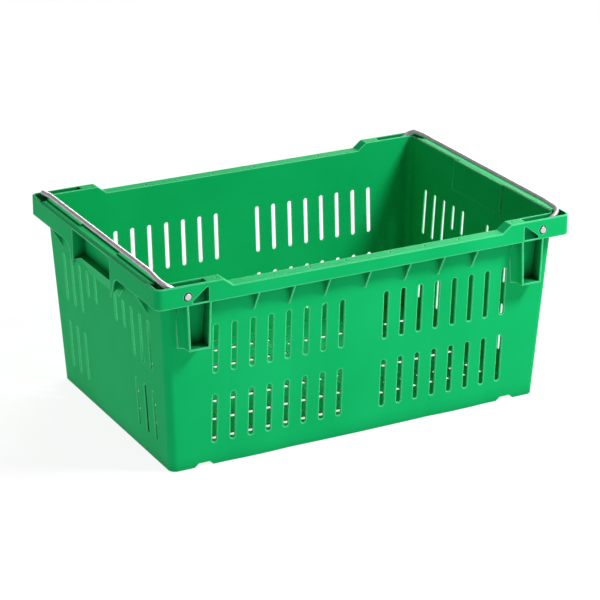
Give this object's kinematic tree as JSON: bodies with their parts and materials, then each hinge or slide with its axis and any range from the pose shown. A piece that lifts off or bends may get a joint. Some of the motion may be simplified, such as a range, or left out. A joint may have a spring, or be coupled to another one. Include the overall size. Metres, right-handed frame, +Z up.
{
  "type": "stacking crate",
  "caption": "Vented rectangular stacking crate with tapered slotted walls, grid floor, hand holds in the ends and a swinging wire bail over each end rim.",
  "frame": {"origin": "centre of the crate's footprint, on the ground plane", "axes": "+X along the long side, +Y across to the far long side, +Z up"},
  "size_m": [0.6, 0.4072, 0.2737],
  "materials": {
    "green_plastic": "semi-gloss injection moulded",
    "zinc_wire": "zinc plated, satin"
  },
  "bodies": {
    "crate": {"crate_body": "green_plastic"},
    "left_bail": {"left_bail": "zinc_wire"},
    "right_bail": {"right_bail": "zinc_wire"}
  },
  "joints": [
    {"name": "left_bail_swing", "type": "hinge", "parent": "crate", "child": "left_bail", "pos_m": [-0.2577, 0, 0.2475], "axis": [0, 1, 0], "range_deg": [0, 111]},
    {"name": "right_bail_swing", "type": "hinge", "parent": "crate", "child": "right_bail", "pos_m": [0.2577, 0, 0.2475], "axis": [0, -1, 0], "range_deg": [0, 111]}
  ]
}
